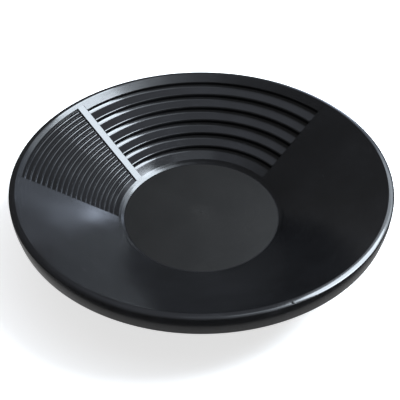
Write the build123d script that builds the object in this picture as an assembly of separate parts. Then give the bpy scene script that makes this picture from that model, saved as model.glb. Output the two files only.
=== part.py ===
from build123d import *
import math
import os

# A black plastic gold pan: a flat floor, a conical wall and a turned-down rim. Two stretches of the
# wall carry riffles, a coarse bank and a fine bank, with a plain divider bar between them.
# The real pan is one moulding. Each region of it is a separate closed solid here, and the regions
# meet face to face. The origin is the centre of the pan's underside, +Z is up, and azimuths are
# measured from +X towards +Y.

# Whole pan, millimetres
PAN_DIAMETER = 356.4
PAN_HEIGHT = 69.9
FLOOR_THICKNESS = 2.6
FLOOR_RADIUS = 81.0            # where the floor turns up into the wall
WALL_TOP_RADIUS = 172.3        # where the wall's inner face reaches the rim's flat top
WALL = 2.5                     # thickness of the wall, square to its face

# Azimuths that bound the banks, degrees
COARSE_START = 37.2
DIVIDER_AZIMUTH = 141.4        # right-hand face of the divider bar, and end of the coarse bank
FINE_END = 186.6

# Rings that the wall is divided into
FLOOR_PLATE_RADIUS = 80.0
BASE_RING_RADIUS = 86.0
BASE_CREASE = (83.5, 1.7)      # radius, and height above the floor, of the crease in the base ring
FINE_TOP_RADIUS = 168.3        # outer end of the fine bank's recess
WALL_END_RADIUS = 171.0        # the wall meets the rim here

# Middle of the floor
DIMPLE_RADIUS = 5.0            # shallow dimple underneath
DIMPLE_DEPTH = 0.6
VESTIGE_RADII = (1.6, 1.2)     # low stub on top, where the moulding's gate was
VESTIGE_HEIGHT = 0.25

# Coarse bank
COARSE_STEPS = 6
COARSE_TOP_RADIUS = 163.2      # riser of the outermost step
COARSE_PITCH = 12.95
COARSE_STEP_HEIGHT = 4.1       # riser, measured to the sharp corner of the nose
COARSE_LAST_STEP_HEIGHT = 3.6
COARSE_NOSE_SET = 1.5          # a nose's corner is as high as the wall this much further out
COARSE_NOSE = 2.4              # radius of a nose
COARSE_TOP_NOSE = 1.4          # radius of the top band's nose
COVE_ANGLE = 46.0              # slope where a tread turns up to the foot of the next riser, degrees
COVE_LENGTH = 3.3
COVE_RADIUS = 8.0
COVE_UNDER_RADIUS = 2.0        # the same turn on the underside
LANDING_COVE_LENGTH = 2.4

# Fine bank
FINE_RIFFLES = 19
FINE_TOP_NOSE_RADIUS = 166.4
FINE_PITCH = 4.144
FINE_RECESS = 1.6              # depth, along Z, of the foot of a riffle below the wall
FINE_BASE_DEPTH = 2.3          # depth, along Z, of the joint between the riffles and their backing
FINE_BACK_DEPTH = 1.0          # the backing stands out this much behind the wall, along Z
FINE_RISER = 1.45
FINE_TREAD_SLOPE = 0.22        # rise over run of a riffle's upper face
FINE_COVE = 0.5                # width of the turned-up foot of a riser
FINE_COVE_RADIUS = 1.7
FINE_NOSE = 0.3
FINE_GAP = 1.1                 # open channel between the divider bar and the ends of the riffles

DIVIDER_WIDTH = 8.8
END_WEB = 2.5                  # web that closes the far end of the coarse bank

# Rim, from its flat top over a shoulder to a slightly bulged skirt
RIM_DEPTH = 17.7               # top of the rim to the lower edge of the skirt
RIM_JOINT = 4.2                # the skirt's solid starts this far below the top
RIM_THICKNESS = 2.5
RIM_LIP_RADIUS = 1.2           # inner edge of the flat top
SHOULDER_SLOPE = 28.0          # degrees below the horizontal
SHOULDER_RADIUS = 5.0          # between the flat top and the shoulder
SHOULDER_DROP = 0.93           # depth of the corner between the shoulder and the skirt
SKIRT_EDGE_RADIUS = 1.3        # rounding of that corner
SKIRT_LEAN = (7.0, 4.0)        # how far the skirt leans above and below its bulge, degrees
SKIRT_BULGE_RADIUS = 45.0

# Moulding mark on the rim: a small nick with a pip beside it
MARK_AZIMUTH = -68.3
NICK_LENGTH = 7.0
NICK_WIDTH = 1.4
NICK_DEPTH = 0.6
PIP_RADIUS = 0.8
PIP_AZIMUTH = MARK_AZIMUTH + 0.5
PIP_INSET = 1.4
PIP_SINK = 1.1

# Small edges
LIP_RADIUS = 0.7               # smooth wall's edge beside the fine bank
WEB_EDGE = 0.8
BAR_EDGE = 0.4
SOFT_EDGE = 0.5
HEEL_RADIUS = 1.8              # under the pan, between the floor and the wall

SPARE_SWEEP = 10.0             # degrees turned past a face that is then cut square

rim_radius = PAN_DIAMETER / 2
slope = (PAN_HEIGHT - FLOOR_THICKNESS) / (WALL_TOP_RADIUS - FLOOR_RADIUS)
wall_angle = math.atan(slope)
wall_drop = WALL / math.cos(wall_angle)
shift_r = WALL * math.sin(wall_angle)
shift_z = WALL * math.cos(wall_angle)


def wall_z(radius, offset=0.0):
    """Height of the wall's inner face at a radius, plus an offset along Z."""
    return FLOOR_THICKNESS + (radius - FLOOR_RADIUS) * slope + offset


def ring(corners, start=0.0, sweep=360.0):
    """Turn a closed outline about Z. Each corner is (radius, z) or (radius, z, rounding)."""
    points = [(c[0], 0, c[1]) for c in corners]
    roundings = [c[2] if len(c) == 3 else 0 for c in corners]
    outline = FilletPolyline(*points, radius=roundings, close=True)
    turned = revolve(make_face(outline.edges()), axis=Axis.Z, revolution_arc=sweep)
    return Rot(0, 0, start) * turned


def slab(azimuth, near, far):
    """A block beside the upright plane through Z at an azimuth, from near to far on its left."""
    block = Pos(rim_radius, (near + far) / 2, 0) * Box(2 * rim_radius, far - near, 4 * PAN_HEIGHT)
    return Rot(0, 0, azimuth) * block


def at(azimuth, radius, z, side=0.0):
    """A point given by its azimuth, radius and height, moved sideways to the left."""
    angle = math.radians(azimuth)
    x = radius * math.cos(angle) - side * math.sin(angle)
    y = radius * math.sin(angle) + side * math.cos(angle)
    return Vector(x, y, z)


def round_edge(solid, point, rounding):
    """Round the one edge whose middle is nearest to a point."""
    nearest = solid.edges().sort_by(lambda edge: (edge @ 0.5 - point).length)[0]
    return fillet(nearest, rounding)


def only_solid(shape):
    solids = shape.solids()
    assert len(solids) == 1, f"{len(solids)} solids"
    return solids[0]


def floor_plate():
    plate = ring([
        (0, 0),
        (FLOOR_PLATE_RADIUS, 0),
        (FLOOR_PLATE_RADIUS, FLOOR_THICKNESS),
        (0, FLOOR_THICKNESS),
    ])
    dimple = Pos(0, 0, DIMPLE_DEPTH / 2) * Cylinder(DIMPLE_RADIUS, DIMPLE_DEPTH)
    lower, upper = VESTIGE_RADII
    vestige = Pos(0, 0, FLOOR_THICKNESS) * Cone(lower, upper, 2 * VESTIGE_HEIGHT)
    return plate - dimple + vestige


def base_ring():
    crease_radius, crease_height = BASE_CREASE
    heel_radius = FLOOR_RADIUS + (wall_drop - FLOOR_THICKNESS) / slope
    return ring([
        (FLOOR_PLATE_RADIUS, 0),
        (heel_radius, 0, HEEL_RADIUS),
        (BASE_RING_RADIUS, wall_z(BASE_RING_RADIUS, -wall_drop)),
        (BASE_RING_RADIUS, wall_z(BASE_RING_RADIUS)),
        (crease_radius, FLOOR_THICKNESS + crease_height),
        (FLOOR_RADIUS, FLOOR_THICKNESS),
        (FLOOR_PLATE_RADIUS, FLOOR_THICKNESS),
    ])


def wall_band(inner_radius, outer_radius, start, end, depth=wall_drop):
    """A stretch of plain wall, depth thick along Z."""
    return ring([
        (inner_radius, wall_z(inner_radius, -depth)),
        (outer_radius, wall_z(outer_radius, -depth)),
        (outer_radius, wall_z(outer_radius)),
        (inner_radius, wall_z(inner_radius)),
    ], start, end - start)


def smooth_wall():
    wall = wall_band(BASE_RING_RADIUS, WALL_END_RADIUS, FINE_END, 360 + COARSE_START)
    wall = only_solid(wall - slab(COARSE_START, -END_WEB, 0))
    middle = (BASE_RING_RADIUS + WALL_END_RADIUS) / 2
    return round_edge(wall, at(FINE_END, middle, wall_z(middle)), LIP_RADIUS)


# Coarse bank. Step 0 is the plain band above the bank. Each step has a riser that faces the centre,
# a rounded nose, and a tread that slopes gently and then turns up to the foot of the next riser.

def riser_radius(step):
    return COARSE_TOP_RADIUS - step * COARSE_PITCH


def nose_z(step):
    """Height of the sharp corner that a nose is rounded from."""
    return wall_z(riser_radius(step) + COARSE_NOSE_SET)


def riser_foot_z(step):
    height = COARSE_LAST_STEP_HEIGHT if step == COARSE_STEPS - 1 else COARSE_STEP_HEIGHT
    return nose_z(step) - height


def cove_start(foot, length):
    """The corner where a tread starts to turn up to the foot of a riser."""
    angle = math.radians(COVE_ANGLE)
    return (foot[0] - length * math.cos(angle), foot[1] - length * math.sin(angle), COVE_RADIUS)


def under(corner, rounding=0.0):
    """The point of the wall's outer face that lies square behind a corner of the inner face."""
    return (corner[0] + shift_r, corner[1] - shift_z, rounding)


def coarse_ring(corners):
    return ring(corners, COARSE_START, DIVIDER_AZIMUTH - COARSE_START)


def coarse_riffle(step):
    """A nose and its tread, up to the foot of the next riser out."""
    inner, outer = riser_radius(step), riser_radius(step - 1)
    inner_foot = (inner, riser_foot_z(step))
    outer_foot = (outer, riser_foot_z(step - 1))
    nose = (inner, nose_z(step), COARSE_NOSE)
    cove = cove_start(outer_foot, COVE_LENGTH)
    return coarse_ring([
        (inner, inner_foot[1] - wall_drop),
        under(inner_foot),
        under(nose),
        under(cove, COVE_UNDER_RADIUS),
        (outer, outer_foot[1] - wall_drop),
        outer_foot,
        cove,
        nose,
    ])


def coarse_landing():
    """The lowest step, which runs down to the base ring with no nose of its own."""
    outer = riser_radius(COARSE_STEPS - 1)
    outer_foot = (outer, riser_foot_z(COARSE_STEPS - 1))
    cove = cove_start(outer_foot, LANDING_COVE_LENGTH)
    foot = (BASE_RING_RADIUS, wall_z(BASE_RING_RADIUS))
    return coarse_ring([
        (BASE_RING_RADIUS, foot[1] - wall_drop),
        under(foot),
        under(cove),
        (outer, outer_foot[1] - wall_drop),
        outer_foot,
        cove,
        foot,
    ])


def coarse_top_band():
    inner = riser_radius(0)
    foot = (inner, riser_foot_z(0))
    nose = (inner, wall_z(inner), COARSE_TOP_NOSE)
    return coarse_ring([
        (inner, foot[1] - wall_drop),
        under(foot),
        (inner + shift_r, wall_z(inner + shift_r, -wall_drop)),
        (WALL_END_RADIUS, wall_z(WALL_END_RADIUS, -wall_drop)),
        (WALL_END_RADIUS, wall_z(WALL_END_RADIUS)),
        nose,
    ])


def deep_corners(depth, step_radius):
    """Underside of a stretch that is deeper than the wall, back at wall depth from step_radius out."""
    ramp_end = BASE_RING_RADIUS + 2 * WALL
    return [
        (BASE_RING_RADIUS, wall_z(BASE_RING_RADIUS, -wall_drop)),
        (ramp_end, wall_z(ramp_end, -depth)),
        (step_radius, wall_z(step_radius, -depth)),
        (step_radius, wall_z(step_radius, -wall_drop)),
    ]


def deep_band(outer_radius, start, end):
    """Wall as deep as the underside of the coarse bank."""
    depth = COARSE_STEP_HEIGHT - COARSE_NOSE_SET * slope + wall_drop
    return ring(deep_corners(depth, COARSE_TOP_RADIUS + shift_r) + [
        (outer_radius, wall_z(outer_radius, -wall_drop)),
        (outer_radius, wall_z(outer_radius)),
        (BASE_RING_RADIUS, wall_z(BASE_RING_RADIUS)),
    ], start, end - start)


def coarse_end_web():
    web = deep_band(WALL_END_RADIUS, COARSE_START - SPARE_SWEEP, COARSE_START)
    web = only_solid(web & slab(COARSE_START, -END_WEB, 0))
    middle = (BASE_RING_RADIUS + WALL_END_RADIUS) / 2
    return round_edge(web, at(COARSE_START, middle, wall_z(middle)), WEB_EDGE)


def divider_bar():
    bar = deep_band(FINE_TOP_RADIUS, DIVIDER_AZIMUTH, DIVIDER_AZIMUTH + SPARE_SWEEP)
    bar = only_solid(bar & slab(DIVIDER_AZIMUTH, 0, DIVIDER_WIDTH))
    middle = (BASE_RING_RADIUS + FINE_TOP_RADIUS) / 2
    reach = math.hypot(middle, DIVIDER_WIDTH)
    bar = round_edge(bar, at(DIVIDER_AZIMUTH, middle, wall_z(middle)), BAR_EDGE)
    return round_edge(bar, at(DIVIDER_AZIMUTH, middle, wall_z(reach), DIVIDER_WIDTH), BAR_EDGE)


# Fine bank. Riffle 0 is the outermost. The riffles are one comb on a backing shell.

def fine_ring(corners, gap):
    """An outline turned over the fine bank, cut back from the divider bar by a gap."""
    turned = ring(corners, DIVIDER_AZIMUTH, FINE_END - DIVIDER_AZIMUTH)
    return only_solid(turned - slab(DIVIDER_AZIMUTH, 0, DIVIDER_WIDTH + gap))


def fine_backing():
    depth = wall_drop + FINE_BACK_DEPTH
    return fine_ring(deep_corners(depth, FINE_TOP_NOSE_RADIUS) + [
        (FINE_TOP_RADIUS, wall_z(FINE_TOP_RADIUS, -wall_drop)),
        (FINE_TOP_RADIUS, wall_z(FINE_TOP_RADIUS, -FINE_BASE_DEPTH)),
        (BASE_RING_RADIUS, wall_z(BASE_RING_RADIUS, -FINE_BASE_DEPTH)),
    ], 0)


def fine_top_band():
    return wall_band(FINE_TOP_RADIUS, WALL_END_RADIUS, DIVIDER_AZIMUTH, FINE_END)


def fine_riffles():
    """Each riffle is an upright riser, a small nose, a tread and a turned-up foot for the next one."""
    first_foot_z = wall_z(FINE_TOP_NOSE_RADIUS, -FINE_RECESS)
    tread = FINE_TOP_RADIUS - FINE_TOP_NOSE_RADIUS
    corners = [
        (BASE_RING_RADIUS, wall_z(BASE_RING_RADIUS, -FINE_BASE_DEPTH)),
        (FINE_TOP_RADIUS, wall_z(FINE_TOP_RADIUS, -FINE_BASE_DEPTH)),
        (FINE_TOP_RADIUS, first_foot_z + FINE_RISER + tread * FINE_TREAD_SLOPE),
    ]
    pitch_drop = FINE_PITCH * slope
    cove_drop = pitch_drop - FINE_RISER - (FINE_PITCH - FINE_COVE) * FINE_TREAD_SLOPE
    for index in range(FINE_RIFFLES):
        radius = FINE_TOP_NOSE_RADIUS - index * FINE_PITCH
        foot_z = wall_z(radius, -FINE_RECESS)
        corners.append((radius, foot_z + FINE_RISER, FINE_NOSE))
        corners.append((radius, foot_z))
        corners.append((radius - FINE_COVE, foot_z - cove_drop, FINE_COVE_RADIUS))
    corners.append((BASE_RING_RADIUS, wall_z(BASE_RING_RADIUS)))
    return fine_ring(corners, FINE_GAP)


# Rim

def skirt_bulge():
    """Centre of the arc that the skirt's outer face follows. The arc starts at the rim's joint."""
    upper = math.radians(SKIRT_LEAN[0])
    z = PAN_HEIGHT - RIM_JOINT - SKIRT_BULGE_RADIUS * math.sin(upper)
    return rim_radius - SKIRT_BULGE_RADIUS, z


def skirt_joint():
    """Where the skirt's outer face crosses the joint between the two solids of the rim."""
    centre_r, centre_z = skirt_bulge()
    upper = math.radians(SKIRT_LEAN[0])
    return centre_r + SKIRT_BULGE_RADIUS * math.cos(upper), PAN_HEIGHT - RIM_JOINT


def rim_top():
    joint_r, joint_z = skirt_joint()
    lean = math.tan(math.radians(SKIRT_LEAN[0]))
    edge_z = PAN_HEIGHT - SHOULDER_DROP
    edge_r = joint_r - (edge_z - joint_z) * lean
    shoulder_r = edge_r - SHOULDER_DROP / math.tan(math.radians(SHOULDER_SLOPE))
    under_z = PAN_HEIGHT - RIM_THICKNESS
    under_join = WALL_END_RADIUS + (under_z - wall_z(WALL_END_RADIUS, -wall_drop)) / slope
    skirt_inner = joint_r - RIM_THICKNESS
    top = ring([
        (WALL_END_RADIUS, wall_z(WALL_END_RADIUS, -wall_drop)),
        (under_join, under_z),
        (skirt_inner, under_z, SOFT_EDGE),
        (skirt_inner, joint_z),
        (joint_r, joint_z),
        (edge_r, edge_z, SKIRT_EDGE_RADIUS),
        (shoulder_r, PAN_HEIGHT, SHOULDER_RADIUS),
        (WALL_TOP_RADIUS, PAN_HEIGHT, RIM_LIP_RADIUS),
        (WALL_END_RADIUS, wall_z(WALL_END_RADIUS)),
    ])
    nick = Pos(rim_radius, 0, PAN_HEIGHT) * Box(NICK_LENGTH, NICK_WIDTH, 2 * NICK_DEPTH)
    pip = Pos(rim_radius - PIP_INSET, 0, PAN_HEIGHT - PIP_SINK) * Sphere(PIP_RADIUS)
    return top - Rot(0, 0, MARK_AZIMUTH) * nick + Rot(0, 0, PIP_AZIMUTH) * pip


def rim_skirt():
    centre_r, centre_z = skirt_bulge()
    joint_r, joint_z = skirt_joint()
    low_z = PAN_HEIGHT - RIM_DEPTH
    upper, lower = [math.radians(lean) for lean in SKIRT_LEAN]
    # the two leaning faces cross at the corner that the bulge is rounded from
    reach = SKIRT_BULGE_RADIUS / math.cos((upper + lower) / 2)
    corner_r = centre_r + reach * math.cos((upper - lower) / 2)
    corner_z = centre_z + reach * math.sin((upper - lower) / 2)
    low_r = corner_r - (corner_z - low_z) * math.tan(lower)
    # the outer face starts on a very short straight so that the rounding has somewhere to end
    return ring([
        (joint_r - RIM_THICKNESS, joint_z),
        (low_r - RIM_THICKNESS, low_z, SOFT_EDGE),
        (low_r, low_z, SOFT_EDGE),
        (corner_r, corner_z, SKIRT_BULGE_RADIUS * 0.995),
        (joint_r, joint_z),
    ])


def make_nodes():
    nodes = {
        "floor_plate": floor_plate(),
        "base_ring": base_ring(),
        "smooth_wall": smooth_wall(),
        "coarse_top_band": coarse_top_band(),
        "coarse_landing": coarse_landing(),
        "coarse_end_web": coarse_end_web(),
        "divider_bar": divider_bar(),
        "fine_backing": fine_backing(),
        "fine_riffles": fine_riffles(),
        "fine_top_band": fine_top_band(),
        "rim_top": rim_top(),
        "rim_skirt": rim_skirt(),
    }
    for step in range(1, COARSE_STEPS):
        nodes[f"coarse_riffle_{step}"] = coarse_riffle(step)
    return nodes


os.makedirs("parts", exist_ok=True)
for name, shape in make_nodes().items():
    export_step(shape, f"parts/{name}.step")
    print(name, len(shape.solids()), round(shape.volume))
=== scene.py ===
import math

import bmesh
import bpy
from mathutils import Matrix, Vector


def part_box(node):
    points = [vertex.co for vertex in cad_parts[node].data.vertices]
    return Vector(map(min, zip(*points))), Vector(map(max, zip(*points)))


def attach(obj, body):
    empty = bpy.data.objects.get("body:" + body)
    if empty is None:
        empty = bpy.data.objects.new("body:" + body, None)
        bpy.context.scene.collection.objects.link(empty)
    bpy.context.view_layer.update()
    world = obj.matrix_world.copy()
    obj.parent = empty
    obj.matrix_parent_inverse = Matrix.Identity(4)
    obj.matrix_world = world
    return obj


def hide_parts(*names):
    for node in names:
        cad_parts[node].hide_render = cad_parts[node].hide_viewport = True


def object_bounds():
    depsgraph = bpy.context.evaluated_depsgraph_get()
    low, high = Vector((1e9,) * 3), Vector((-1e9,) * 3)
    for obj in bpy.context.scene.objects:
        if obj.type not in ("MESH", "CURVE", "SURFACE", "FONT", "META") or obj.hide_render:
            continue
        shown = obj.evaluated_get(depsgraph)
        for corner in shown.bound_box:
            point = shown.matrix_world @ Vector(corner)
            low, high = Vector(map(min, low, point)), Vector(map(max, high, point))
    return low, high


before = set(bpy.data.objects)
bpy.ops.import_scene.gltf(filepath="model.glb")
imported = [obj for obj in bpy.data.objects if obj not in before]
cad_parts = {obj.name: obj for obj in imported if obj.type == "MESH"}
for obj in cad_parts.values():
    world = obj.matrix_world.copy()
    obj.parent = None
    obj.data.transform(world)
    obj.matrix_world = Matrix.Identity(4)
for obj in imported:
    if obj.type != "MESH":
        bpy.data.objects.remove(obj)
cad_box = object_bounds()


# ---------------------------------------------------------------- node helpers

class Nodes:
    """A material's node tree, with short calls for the nodes used here."""

    def __init__(self, name):
        self.material = bpy.data.materials.new(name)
        self.material.use_nodes = True
        self.tree = self.material.node_tree
        self.tree.nodes.clear()
        self.output = self.add("ShaderNodeOutputMaterial")
        self.place = self.add("ShaderNodeTexCoord").outputs["Object"]

    def add(self, kind, **settings):
        node = self.tree.nodes.new(kind)
        for key, value in settings.items():
            setattr(node, key, value)
        return node

    def join(self, source, target):
        self.tree.links.new(source, target)

    def feed(self, socket, value):
        if isinstance(value, bpy.types.NodeSocket):
            self.join(value, socket)
        else:
            socket.default_value = value

    def noise(self, size, detail=2.0, roughness=0.5, vector=None, distortion=0.0):
        """Noise whose largest features are about size metres across."""
        node = self.add("ShaderNodeTexNoise")
        self.join(vector or self.place, node.inputs["Vector"])
        node.inputs["Scale"].default_value = 1 / size
        node.inputs["Detail"].default_value = detail
        node.inputs["Roughness"].default_value = roughness
        node.inputs["Distortion"].default_value = distortion
        return node.outputs["Fac"]

    def distance(self):
        """Distance from the origin, in metres."""
        length = self.add("ShaderNodeVectorMath", operation="LENGTH")
        self.join(self.place, length.inputs[0])
        return length.outputs["Value"]

    def around(self, along, across):
        """Arc and distance from the middle, in units of along and across, for noise that runs round."""
        parts = self.add("ShaderNodeSeparateXYZ")
        self.join(self.place, parts.inputs["Vector"])
        bearing = self.math("ARCTAN2", parts.outputs["Y"], parts.outputs["X"])
        joined = self.add("ShaderNodeCombineXYZ")
        self.join(self.math("MULTIPLY", bearing, MIDDLE_RADIUS / along), joined.inputs["X"])
        self.join(self.math("MULTIPLY", self.distance(), 1 / across), joined.inputs["Y"])
        return joined.outputs["Vector"]

    def remap(self, value, low, high, to_low, to_high, smooth=False):
        node = self.add("ShaderNodeMapRange", clamp=True)
        if smooth:
            node.interpolation_type = "SMOOTHSTEP"
        self.join(value, node.inputs["Value"])
        node.inputs["From Min"].default_value = low
        node.inputs["From Max"].default_value = high
        node.inputs["To Min"].default_value = to_low
        node.inputs["To Max"].default_value = to_high
        return node.outputs["Result"]

    def math(self, operation, first, second=0.0):
        node = self.add("ShaderNodeMath", operation=operation)
        self.feed(node.inputs[0], first)
        self.feed(node.inputs[1], second)
        return node.outputs["Value"]

    def mix(self, amount, first, second):
        node = self.add("ShaderNodeMix", data_type="RGBA")
        self.feed(node.inputs["Factor"], amount)
        self.feed(node.inputs["A"], first)
        self.feed(node.inputs["B"], second)
        return node.outputs["Result"]

    def bump(self, height, strength, distance, normal=None):
        node = self.add("ShaderNodeBump")
        node.inputs["Strength"].default_value = strength
        node.inputs["Distance"].default_value = distance
        self.join(height, node.inputs["Height"])
        if normal is not None:
            self.join(normal, node.inputs["Normal"])
        return node.outputs["Normal"]


# Sizes of the plastic's patterns, in metres. MIDDLE_RADIUS is where an arc has its true length.
MIDDLE_RADIUS = 0.13
CLOUD_SIZE = 0.045
SPECK_SIZE = 0.0012
SCUFF_LENGTH = 0.012
SCUFF_WIDTH = 0.0011
SCUFFED_PATCH = 0.035
SWIRL_SIZE = 0.009
HAZE_SIZE = 0.02
SINK_SIZE = 0.03
SINK_DEPTH = 0.0002

POLYPROPYLENE_IOR = 1.49


def moulded_plastic(name, dark, light, worn, gloss, scuff, grain, grain_depth, shine=0.5, blush=0.0):
    """Black polypropylene. gloss is the lowest and highest roughness, grain the size of its texture.

    worn is the colour of fine scuffs left by stirred gravel, and scuff how much rougher they are.
    blush is the radius of the pale haze round the moulding's gate, where there is one.
    """
    n = Nodes(name)
    shader = n.add("ShaderNodeBsdfPrincipled")
    n.join(shader.outputs["BSDF"], n.output.inputs["Surface"])
    shader.inputs["IOR"].default_value = POLYPROPYLENE_IOR
    shader.inputs["Specular IOR Level"].default_value = shine

    cloud = n.noise(CLOUD_SIZE, detail=3.0)
    speck = n.noise(SPECK_SIZE, detail=2.0)
    tint = n.math("ADD", n.math("MULTIPLY", cloud, 0.7), n.math("MULTIPLY", speck, 0.3))
    moulded = n.mix(n.remap(tint, 0.35, 0.65, 0.0, 1.0), dark, light)
    round_pan = n.around(SCUFF_LENGTH, SCUFF_WIDTH)
    streaks = n.noise(1.0, detail=4.0, roughness=0.65, vector=round_pan, distortion=0.4)
    patches = n.remap(n.noise(SCUFFED_PATCH, detail=2.0), 0.42, 0.66, 0.0, 1.0)
    scuffs = n.math("MULTIPLY", n.remap(streaks, 0.54, 0.74, 0.0, 1.0), patches)
    pale = scuffs
    if blush:
        near_gate = n.remap(n.distance(), 0.0, blush, 1.0, 0.0, smooth=True)
        swirl = n.remap(n.noise(SWIRL_SIZE, detail=4.0, distortion=1.5), 0.35, 0.7, 0.1, 1.0)
        pale = n.math("MAXIMUM", scuffs, n.math("MULTIPLY", near_gate, swirl))
    n.join(n.mix(pale, moulded, worn), shader.inputs["Base Color"])

    haze = n.remap(n.noise(HAZE_SIZE, detail=4.0, roughness=0.6), 0.3, 0.7, gloss[0], gloss[1])
    n.join(n.math("ADD", haze, n.math("MULTIPLY", scuffs, scuff)), shader.inputs["Roughness"])

    skin = n.noise(grain, detail=2.0, roughness=0.6)
    sink = n.noise(SINK_SIZE, detail=1.0)
    bumped = n.bump(skin, 1.0, grain_depth)
    bumped = n.bump(sink, 1.0, SINK_DEPTH, bumped)
    n.join(bumped, shader.inputs["Normal"])
    return n.material


WALL_PLASTIC = moulded_plastic(
    "wall_plastic",
    dark=(0.005, 0.005, 0.0055, 1),
    light=(0.0085, 0.0085, 0.0095, 1),
    worn=(0.020, 0.020, 0.022, 1),
    gloss=(0.09, 0.13),
    scuff=0.10,
    grain=0.0008,
    grain_depth=0.000004,
)
SMOOTH_PLASTIC = moulded_plastic(
    "smooth_wall_plastic",
    dark=(0.005, 0.005, 0.0055, 1),
    light=(0.0085, 0.0085, 0.0095, 1),
    worn=(0.018, 0.018, 0.020, 1),
    gloss=(0.16, 0.22),
    scuff=0.10,
    grain=0.0008,
    grain_depth=0.000006,
)
FLOOR_PLASTIC = moulded_plastic(
    "floor_plastic",
    dark=(0.0056, 0.0051, 0.0047, 1),
    light=(0.0088, 0.0081, 0.0075, 1),
    worn=(0.017, 0.016, 0.015, 1),
    gloss=(0.58, 0.70),
    scuff=-0.08,
    blush=0.022,
    grain=0.0009,
    grain_depth=0.00006,
    shine=0.22,
)

PLASTICS = {
    "floor_plate": FLOOR_PLASTIC,
    "base_ring": SMOOTH_PLASTIC,
    "smooth_wall": SMOOTH_PLASTIC,
    "coarse_top_band": SMOOTH_PLASTIC,
    "fine_top_band": SMOOTH_PLASTIC,
}
for name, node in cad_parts.items():
    for index in range(len(node.material_slots)):
        node.material_slots[index].material = PLASTICS.get(name, WALL_PLASTIC)


# ---------------------------------------------------------------- turned pieces
# The CAD meshes of the narrow roundings have uneven normals, which a glossy surface shows. These
# pieces are the CAD's outlines turned about Z with even, finer faces, apart from the rim's shoulder.
# All sizes are in millimetres, outlines are lists of radius and z, and azimuths are in degrees.

MM = 0.001
FULL_TURN = 360
FLOOR_THICKNESS = 2.6
FLOOR_RADIUS = 81.0
WALL_TOP_RADIUS = 172.3
PAN_HEIGHT = 69.9
WALL_THICKNESS = 2.5
COARSE_START = 37.2
DIVIDER_AZIMUTH = 141.4
DIVIDER_WIDTH = 8.8
FINE_END = 186.6
BASE_RING_RADIUS = 86.0
WALL_END_RADIUS = 171.0

SLOPE = (PAN_HEIGHT - FLOOR_THICKNESS) / (WALL_TOP_RADIUS - FLOOR_RADIUS)
WALL_ANGLE = math.atan(SLOPE)
WALL_DROP = WALL_THICKNESS / math.cos(WALL_ANGLE)
SHIFT_R = WALL_THICKNESS * math.sin(WALL_ANGLE)
SHIFT_Z = WALL_THICKNESS * math.cos(WALL_ANGLE)

ARC_STEP = 6          # degrees of rounding to one face
ARC_LENGTH = 1.0      # and the longest face along a rounding
SUPPORT = 0.12        # faces this narrow beside a rounding keep the flat faces' shading flat
SUPPORT_SHARE = 0.4   # of the flat part, at most
SHORTEST = 0.01       # narrower ones are left out
TURN_STEP = 0.75      # degrees round the pan to one face
START_RADIUS = 100    # where a start that varies with radius is counted from
SHARP = math.radians(24)


def wall_z(radius, offset=0.0):
    return FLOOR_THICKNESS + (radius - FLOOR_RADIUS) * SLOPE + offset


def rounded(corners):
    """The points of a closed outline whose corners are (radius, z) or (radius, z, rounding)."""
    count = len(corners)
    places = [Vector(corner[:2]) for corner in corners]
    roundings = [corner[2] if len(corner) == 3 else 0 for corner in corners]
    backs = [(places[index - 1] - places[index]).normalized() for index in range(count)]
    aheads = [(places[(index + 1) % count] - places[index]).normalized() for index in range(count)]
    halves = [back.angle(ahead) / 2 for back, ahead in zip(backs, aheads)]
    reaches = [rounding / math.tan(half) for rounding, half in zip(roundings, halves)]
    supports = []
    for index in range(count):
        free = (places[index] - places[index - 1]).length - reaches[index] - reaches[index - 1]
        supports.append(min(SUPPORT, SUPPORT_SHARE * free))
    points = []
    for index in range(count):
        here, rounding, reach = places[index], roundings[index], reaches[index]
        if not rounding:
            points.append(here)
            continue
        back, ahead = backs[index], aheads[index]
        centre = here + (back + ahead).normalized() * rounding / math.sin(halves[index])
        first = here + back * reach - centre
        last = here + ahead * reach - centre
        turn = math.atan2(first.x * last.y - first.y * last.x, first.dot(last))
        by_angle = math.ceil(abs(math.degrees(turn)) / ARC_STEP)
        by_length = math.ceil(rounding * abs(turn) / ARC_LENGTH)
        pieces = max(2, by_angle, by_length)
        start = math.atan2(first.y, first.x)
        before, after = supports[index], supports[(index + 1) % count]
        if before > SHORTEST:
            points.append(here + back * (reach + before))
        for piece in range(pieces + 1):
            angle = start + turn * piece / pieces
            points.append(centre + rounding * Vector((math.cos(angle), math.sin(angle))))
        if after > SHORTEST:
            points.append(here + ahead * (reach + after))
    return points


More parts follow.
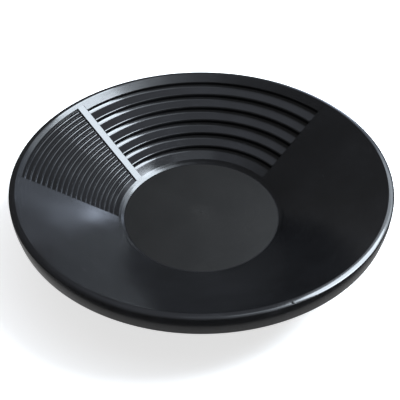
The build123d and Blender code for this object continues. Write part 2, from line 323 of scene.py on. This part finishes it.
def turned(name, node, outline, start=0.0, end=FULL_TURN, azimuths=None, move=None):
    """An outline turned about Z from start to end, in place of a CAD node.

    start may be a function of radius, azimuths a list in place of even steps, and move a function
    that shifts a point, given its radius, z and azimuth.
    """
    def start_at(radius):
        return start(radius) if callable(start) else start

    first = start_at(START_RADIUS)
    whole = end - first >= FULL_TURN
    if azimuths is None:
        count = math.ceil((end - first) / TURN_STEP)
        azimuths = [first + (end - first) * index / count for index in range(count + (not whole))]
    bm = bmesh.new()
    rings = []
    for azimuth in azimuths:
        ring = []
        for point in outline:
            here = azimuth
            if callable(start):
                share = (azimuth - azimuths[0]) / (end - azimuths[0])
                here = start(point.x) + (end - start(point.x)) * share
            radius, z = (point.x, point.y) if move is None else move(point.x, point.y, here)
            angle = math.radians(here)
            place = (radius * math.cos(angle) * MM, radius * math.sin(angle) * MM, z * MM)
            ring.append(bm.verts.new(place))
        rings.append(ring)
    pairs = list(zip(rings, rings[1:] + rings[:1])) if whole else list(zip(rings, rings[1:]))
    for near, far in pairs:
        for index in range(len(outline)):
            bm.faces.new((near[index - 1], near[index], far[index], far[index - 1]))
    if not whole:
        bm.faces.new(rings[0])
        bm.faces.new(list(reversed(rings[-1])))
    bmesh.ops.recalc_face_normals(bm, faces=bm.faces)
    for face in bm.faces:
        face.smooth = True
    for edge in bm.edges:
        edge.smooth = edge.calc_face_angle(0) < SHARP
    mesh = bpy.data.meshes.new(name)
    bm.to_mesh(mesh)
    bm.free()
    mesh.materials.append(PLASTICS.get(node, WALL_PLASTIC))
    piece = bpy.data.objects.new(name, mesh)
    bpy.context.collection.objects.link(piece)
    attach(piece, "root")
    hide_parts(node)


# Coarse bank

COARSE_STEPS = 6
COARSE_TOP_RADIUS = 163.2
COARSE_PITCH = 12.95
COARSE_STEP_HEIGHT = 4.1
COARSE_LAST_STEP_HEIGHT = 3.6
COARSE_NOSE_SET = 1.5
COARSE_NOSE = 2.4
COARSE_TOP_NOSE = 1.4
COVE_ANGLE = math.radians(46)
COVE_LENGTH = 3.3
COVE_RADIUS = 8.0
LANDING_COVE_LENGTH = 2.4
COVE_UNDER_RADIUS = 2.0


def riser_radius(number):
    return COARSE_TOP_RADIUS - number * COARSE_PITCH


def nose_z(number):
    return wall_z(riser_radius(number) + COARSE_NOSE_SET)


def riser_foot(number):
    height = COARSE_LAST_STEP_HEIGHT if number == COARSE_STEPS - 1 else COARSE_STEP_HEIGHT
    return (riser_radius(number), nose_z(number) - height)


def cove_start(foot, length):
    """Where the tread meets the cove that rises to a riser's foot."""
    radius = foot[0] - length * math.cos(COVE_ANGLE)
    z = foot[1] - length * math.sin(COVE_ANGLE)
    return (radius, z, COVE_RADIUS)


def under(corner, rounding=0.0):
    """The corner on the outer face, below one on the inner face."""
    return (corner[0] + SHIFT_R, corner[1] - SHIFT_Z, rounding)


def coarse(name, corners):
    turned("turned_" + name, name, rounded(corners), COARSE_START, DIVIDER_AZIMUTH)


for number in range(1, COARSE_STEPS):
    inner_foot, outer_foot = riser_foot(number), riser_foot(number - 1)
    nose = (inner_foot[0], nose_z(number), COARSE_NOSE)
    cove = cove_start(outer_foot, COVE_LENGTH)
    coarse(f"coarse_riffle_{number}", [
        (inner_foot[0], inner_foot[1] - WALL_DROP),
        under(inner_foot),
        under(nose),
        under(cove, COVE_UNDER_RADIUS),
        (outer_foot[0], outer_foot[1] - WALL_DROP),
        outer_foot,
        cove,
        nose,
    ])

outer_foot = riser_foot(COARSE_STEPS - 1)
cove = cove_start(outer_foot, LANDING_COVE_LENGTH)
landing_end = (BASE_RING_RADIUS, wall_z(BASE_RING_RADIUS))
coarse("coarse_landing", [
    (BASE_RING_RADIUS, landing_end[1] - WALL_DROP),
    under(landing_end),
    under(cove),
    (outer_foot[0], outer_foot[1] - WALL_DROP),
    outer_foot,
    cove,
    landing_end,
])

top_foot = riser_foot(0)
coarse("coarse_top_band", [
    (top_foot[0], top_foot[1] - WALL_DROP),
    under(top_foot),
    (top_foot[0] + SHIFT_R, wall_z(top_foot[0] + SHIFT_R, -WALL_DROP)),
    (WALL_END_RADIUS, wall_z(WALL_END_RADIUS, -WALL_DROP)),
    (WALL_END_RADIUS, wall_z(WALL_END_RADIUS)),
    (top_foot[0], wall_z(top_foot[0]), COARSE_TOP_NOSE),
])


# Fine bank

FINE_RIFFLES = 19
FINE_TOP_RADIUS = 168.3
FINE_TOP_NOSE_RADIUS = 166.4
FINE_PITCH = 4.144
FINE_RECESS = 1.6
FINE_BASE_DEPTH = 2.3
FINE_RISER = 1.45
FINE_TREAD_SLOPE = 0.22
FINE_COVE = 0.5
FINE_COVE_RADIUS = 1.7
FINE_NOSE = 0.3
FINE_GAP = 1.1


def fine_corners():
    first_foot_z = wall_z(FINE_TOP_NOSE_RADIUS, -FINE_RECESS)
    tread = FINE_TOP_RADIUS - FINE_TOP_NOSE_RADIUS
    corners = [
        (BASE_RING_RADIUS, wall_z(BASE_RING_RADIUS, -FINE_BASE_DEPTH)),
        (FINE_TOP_RADIUS, wall_z(FINE_TOP_RADIUS, -FINE_BASE_DEPTH)),
        (FINE_TOP_RADIUS, first_foot_z + FINE_RISER + tread * FINE_TREAD_SLOPE),
    ]
    cove_drop = FINE_PITCH * SLOPE - FINE_RISER - (FINE_PITCH - FINE_COVE) * FINE_TREAD_SLOPE
    for index in range(FINE_RIFFLES):
        radius = FINE_TOP_NOSE_RADIUS - index * FINE_PITCH
        foot_z = wall_z(radius, -FINE_RECESS)
        corners.append((radius, foot_z + FINE_RISER, FINE_NOSE))
        corners.append((radius, foot_z))
        corners.append((radius - FINE_COVE, foot_z - cove_drop, FINE_COVE_RADIUS))
    corners.append((BASE_RING_RADIUS, wall_z(BASE_RING_RADIUS)))
    return corners


def beside_divider(radius):
    """Azimuth at which a circle meets the riffles' ends, beside the divider bar."""
    return DIVIDER_AZIMUTH + math.degrees(math.asin((DIVIDER_WIDTH + FINE_GAP) / radius))


turned("turned_fine_riffles", "fine_riffles", rounded(fine_corners()), beside_divider, FINE_END)


# Rim

PAN_DIAMETER = 356.4
RIM_DEPTH = 17.7
RIM_JOINT = 4.2
RIM_THICKNESS = 2.5
RIM_LIP_RADIUS = 1.2
SHOULDER_SLOPE = math.radians(22)      # the CAD's is 28 degrees, and its radius 5
SHOULDER_RADIUS = 8.5
SHOULDER_DROP = 0.93
SKIRT_EDGE_RADIUS = 1.3
SKIRT_UPPER_LEAN = math.radians(7)
SKIRT_LOWER_LEAN = math.radians(4)
SKIRT_BULGE_RADIUS = 45.0
SKIRT_BULGE_SHARE = 0.995  # of that radius, so that the rounding stays inside its edges
SOFT_EDGE = 0.5

MARK_AZIMUTH = -68.3
NICK_START = 174.7
NICK_WIDTH = 1.4
NICK_DEPTH = 0.6
PIP_AZIMUTH = MARK_AZIMUTH + 0.5
PIP_RADIUS = 0.8
PIP_INSET = 1.4
PIP_SINK = 1.1
MARK_FROM = -69            # azimuths between which the faces are fine
MARK_TO = -67.4
FINE_FROM = -68.96
FINE_STEP = 0.04
FINE_COUNT = 39
SHOULDER_DEPTH = 1.6       # the rim's top and shoulder are above this depth
TOP_FACE = 0.3             # the widest face on them

centre_r = PAN_DIAMETER / 2 - SKIRT_BULGE_RADIUS
centre_z = PAN_HEIGHT - RIM_JOINT - SKIRT_BULGE_RADIUS * math.sin(SKIRT_UPPER_LEAN)
joint_r = centre_r + SKIRT_BULGE_RADIUS * math.cos(SKIRT_UPPER_LEAN)
joint_z = PAN_HEIGHT - RIM_JOINT
edge_z = PAN_HEIGHT - SHOULDER_DROP
edge_r = joint_r - (edge_z - joint_z) * math.tan(SKIRT_UPPER_LEAN)
under_z = PAN_HEIGHT - RIM_THICKNESS
under_join = WALL_END_RADIUS + (under_z - wall_z(WALL_END_RADIUS, -WALL_DROP)) / SLOPE
RIM_OUTLINE = rounded([
    (WALL_END_RADIUS, wall_z(WALL_END_RADIUS, -WALL_DROP)),
    (under_join, under_z),
    (joint_r - RIM_THICKNESS, under_z, SOFT_EDGE),
    (joint_r - RIM_THICKNESS, joint_z),
    (joint_r, joint_z),
    (edge_r, edge_z, SKIRT_EDGE_RADIUS),
    (edge_r - SHOULDER_DROP / math.tan(SHOULDER_SLOPE), PAN_HEIGHT, SHOULDER_RADIUS),
    (WALL_TOP_RADIUS, PAN_HEIGHT, RIM_LIP_RADIUS),
    (WALL_END_RADIUS, wall_z(WALL_END_RADIUS)),
])


def split_top(points):
    """The same outline with the rim's top and shoulder cut into short faces."""
    result = []
    for index, point in enumerate(points):
        last = points[index - 1]
        high_enough = min(point.y, last.y) > PAN_HEIGHT - SHOULDER_DEPTH
        if high_enough and min(point.x, last.x) > WALL_TOP_RADIUS:
            pieces = math.ceil((point - last).length / TOP_FACE)
            result += [last.lerp(point, piece / pieces) for piece in range(1, pieces)]
        result.append(point)
    return result


def rim_marks(radius, z, azimuth):
    """The small nick across the rim and the gate's pip in it."""
    if z < PAN_HEIGHT - SHOULDER_DEPTH or radius < WALL_TOP_RADIUS:
        return radius, z
    across = radius * math.radians(azimuth - MARK_AZIMUTH)
    if abs(across) < NICK_WIDTH / 2 and radius > NICK_START:
        z = min(z, PAN_HEIGHT - NICK_DEPTH)
    aside = radius * math.radians(azimuth - PIP_AZIMUTH)
    distance = math.hypot(radius - (PAN_DIAMETER / 2 - PIP_INSET), aside)
    if distance < PIP_RADIUS:
        z = max(z, PAN_HEIGHT - PIP_SINK + math.sqrt(PIP_RADIUS ** 2 - distance ** 2))
    return radius, z


rim_azimuths = [-180 + TURN_STEP * index for index in range(round(FULL_TURN / TURN_STEP))]
rim_azimuths = [azimuth for azimuth in rim_azimuths if not MARK_FROM < azimuth < MARK_TO]
rim_azimuths = sorted(rim_azimuths + [FINE_FROM + FINE_STEP * index for index in range(FINE_COUNT)])
turned("turned_rim_top", "rim_top", split_top(RIM_OUTLINE), azimuths=rim_azimuths, move=rim_marks)

lean_mean = (SKIRT_UPPER_LEAN + SKIRT_LOWER_LEAN) / 2
lean_skew = (SKIRT_UPPER_LEAN - SKIRT_LOWER_LEAN) / 2
bulge_r = centre_r + SKIRT_BULGE_RADIUS / math.cos(lean_mean) * math.cos(lean_skew)
bulge_z = centre_z + SKIRT_BULGE_RADIUS / math.cos(lean_mean) * math.sin(lean_skew)
low_z = PAN_HEIGHT - RIM_DEPTH
low_r = bulge_r - (bulge_z - low_z) * math.tan(SKIRT_LOWER_LEAN)
SKIRT_OUTLINE = rounded([
    (joint_r - RIM_THICKNESS, joint_z),
    (low_r - RIM_THICKNESS, low_z, SOFT_EDGE),
    (low_r, low_z, SOFT_EDGE),
    (bulge_r, bulge_z, SKIRT_BULGE_RADIUS * SKIRT_BULGE_SHARE),
    (joint_r, joint_z),
])
turned("turned_rim_skirt", "rim_skirt", SKIRT_OUTLINE)


# ---------------------------------------------------------------- camera

FLOOR_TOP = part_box("floor_plate")[1][2]
CAMERA_DISTANCE = 0.5055
CAMERA_ELEVATION = math.radians(43.86)
FOCAL_PIXELS = 480.5
CENTRE_PIXEL = (201.4, 211.7)      # where the middle of the pan's floor lands
IMAGE_SIZE = 400
SENSOR_WIDTH = 36


def aim(thing, target):
    direction = Vector(target) - thing.location
    thing.rotation_euler = direction.to_track_quat("-Z", "Y").to_euler()


camera = bpy.data.objects.new("camera", bpy.data.cameras.new("camera"))
bpy.context.collection.objects.link(camera)
camera.location = (
    0,
    -CAMERA_DISTANCE * math.cos(CAMERA_ELEVATION),
    FLOOR_TOP + CAMERA_DISTANCE * math.sin(CAMERA_ELEVATION),
)
aim(camera, (0, 0, FLOOR_TOP))
camera.data.sensor_width = SENSOR_WIDTH
camera.data.lens = SENSOR_WIDTH * FOCAL_PIXELS / IMAGE_SIZE
camera.data.shift_x = (IMAGE_SIZE / 2 - CENTRE_PIXEL[0]) / IMAGE_SIZE
camera.data.shift_y = (CENTRE_PIXEL[1] - IMAGE_SIZE / 2) / IMAGE_SIZE
camera.data.clip_start = 0.01
camera.data.clip_end = 20
bpy.context.scene.camera = camera


# ---------------------------------------------------------------- studio

LIT_POINT = (0, 0, 0.03)           # all lights point here, a little above the pan's floor


def on_dome(azimuth, elevation, distance, centre=LIT_POINT):
    """The place at this distance from the centre. Angles are in degrees."""
    a, e = math.radians(azimuth), math.radians(elevation)
    return (
        centre[0] + distance * math.cos(e) * math.cos(a),
        centre[1] + distance * math.cos(e) * math.sin(a),
        centre[2] + distance * math.sin(e),
    )


def softbox(name, azimuth, elevation, distance, width, height, radiance, colour, roll=0):
    """An elliptical lamp, as bright as its radiance says whatever its size."""
    data = bpy.data.lights.new(name, "AREA")
    data.shape = "ELLIPSE"
    data.size = width
    data.size_y = height
    area = math.pi * width * height / 4
    data.energy = radiance * math.pi * area
    data.color = colour
    light = bpy.data.objects.new(name, data)
    bpy.context.collection.objects.link(light)
    light.location = on_dome(azimuth, elevation, distance)
    aim(light, LIT_POINT)
    light.rotation_euler.rotate_axis("Z", math.radians(roll))


COOL = (0.82, 0.91, 1.0)
SKY = (0.70, 0.81, 1.0)

# One large softbox with a soft fall-off, to the right behind the pan, and weaker ones low behind it.
softbox("key", 20, 52, 1.4, 0.84, 0.76, 18.5, COOL)
softbox("key_core", 1, 47, 1.38, 0.38, 0.36, 7.5, COOL)
softbox("key_edge", 29, 46, 1.5, 1.40, 1.15, 2.0, COOL)
softbox("key_low", 29, 36, 1.45, 0.40, 0.34, 3.2, COOL)
softbox("key_side", 43, 34, 1.5, 0.70, 0.60, 1.8, COOL)
softbox("key_halo", -7, 59, 1.6, 0.78, 0.86, 1.15, COOL)
softbox("key_rim", -4, 61, 1.5, 0.28, 0.50, 1.6, COOL)
softbox("key_fade", -3, 68, 1.5, 0.26, 0.30, 1.5, COOL)
softbox("key_tail", 14, 73, 1.5, 0.24, 0.58, 2.2, COOL)
softbox("zenith", 25, 85, 1.5, 0.55, 0.55, 0.45, COOL)
softbox("key_haze", -28, 74, 1.5, 0.55, 0.42, 0.5, COOL)
softbox("sky", 56, 24, 1.7, 1.25, 0.80, 0.85, SKY)
softbox("sky_low", 76, 12, 1.7, 1.00, 0.50, 0.35, SKY)
softbox("side", 65, 11.5, 1.6, 0.66, 0.20, 5.7, SKY, roll=-48)
softbox("side_halo", 68, 10, 1.65, 0.60, 0.40, 0.9, SKY)


# The world's glow
GLOW_AZIMUTH = 74
GLOW_ELEVATION = 74
ROOM_COLOUR = (0.14, 0.14, 0.14, 1)
GLOW_COLOUR = (0.51, 0.54, 0.61, 1)
BACKDROP_COLOUR = (1, 1, 1, 1)


def studio_world():
    """Dim walls all round and a faint cool glow overhead. The camera itself sees a white backdrop."""
    world = bpy.data.worlds.new("studio")
    bpy.context.scene.world = world
    world.use_nodes = True
    tree = world.node_tree
    place = tree.nodes.new("ShaderNodeTexCoord")
    towards = tree.nodes.new("ShaderNodeVectorMath")
    towards.operation = "DOT_PRODUCT"
    towards.inputs[1].default_value = on_dome(GLOW_AZIMUTH, GLOW_ELEVATION, 1.0, (0, 0, 0))
    ramp = tree.nodes.new("ShaderNodeValToRGB")
    tree.links.new(place.outputs["Generated"], towards.inputs[0])
    tree.links.new(towards.outputs["Value"], ramp.inputs["Fac"])
    low_end, high_end = ramp.color_ramp.elements
    low_end.position, low_end.color = 0.83, ROOM_COLOUR
    high_end.position, high_end.color = 0.95, GLOW_COLOUR
    backdrop = tree.nodes.new("ShaderNodeMix")
    backdrop.data_type = "RGBA"
    backdrop.inputs["B"].default_value = BACKDROP_COLOUR
    seen = tree.nodes.new("ShaderNodeLightPath").outputs["Is Camera Ray"]
    tree.links.new(seen, backdrop.inputs["Factor"])
    tree.links.new(ramp.outputs["Color"], backdrop.inputs["A"])
    tree.links.new(backdrop.outputs["Result"], tree.nodes["Background"].inputs["Color"])


# The stage floor, in metres. Between POOL_START and POOL_END from its middle its painted reflection
# fades: glossy rays see painted light, bright inside and dim outside, that no lamp casts.
FLOOR_REACH = 6.0
FLOOR_GAP = 0.0002
POOL_START = 0.218
POOL_END = 0.240
# painted light in the floor's reflection, inside and beyond the painted bright area
PAINTED_POOL_LIGHT = 0.34
PAINTED_BEYOND_LIGHT = 0.03
PAPER_COLOUR = (0.88, 0.88, 0.88, 1)
PAPER_GLOW = 0.68


def studio_floor():
    """A pale floor. Glossy rays see a painted reflection on it: bright near its middle and dim on its
    far parts, lit by no lamp.
    """
    reach = FLOOR_REACH
    corners = [(-reach, -reach, 0), (reach, -reach, 0), (reach, reach, 0), (-reach, reach, 0)]
    mesh = bpy.data.meshes.new("ground")
    mesh.from_pydata(corners, [], [(0, 1, 2, 3)])
    ground = bpy.data.objects.new("ground", mesh)
    bpy.context.collection.objects.link(ground)
    ground.location.z = cad_box[0][2] - FLOOR_GAP

    n = Nodes("paper")
    paper = n.add("ShaderNodeBsdfDiffuse")
    paper.inputs["Color"].default_value = PAPER_COLOUR
    glow = n.add("ShaderNodeEmission")
    glow.inputs["Strength"].default_value = PAPER_GLOW
    seen = n.add("ShaderNodeAddShader")
    n.join(paper.outputs["BSDF"], seen.inputs[0])
    n.join(glow.outputs["Emission"], seen.inputs[1])
    # painted reflection: emission seen only by glossy rays, bright near the middle and dim beyond,
    # standing in for light no lamp casts
    painted_reflection = n.add("ShaderNodeEmission")
    strength = n.remap(n.distance(), POOL_START, POOL_END, PAINTED_POOL_LIGHT, PAINTED_BEYOND_LIGHT, smooth=True)
    n.join(strength, painted_reflection.inputs["Strength"])
    mirrored = n.add("ShaderNodeLightPath").outputs["Is Glossy Ray"]
    either = n.add("ShaderNodeMixShader")
    n.join(mirrored, either.inputs[0])
    n.join(seen.outputs[0], either.inputs[1])
    n.join(painted_reflection.outputs["Emission"], either.inputs[2])
    n.join(either.outputs[0], n.output.inputs["Surface"])
    mesh.materials.append(n.material)


studio_world()
studio_floor()
bpy.context.scene.view_settings.view_transform = "Standard"
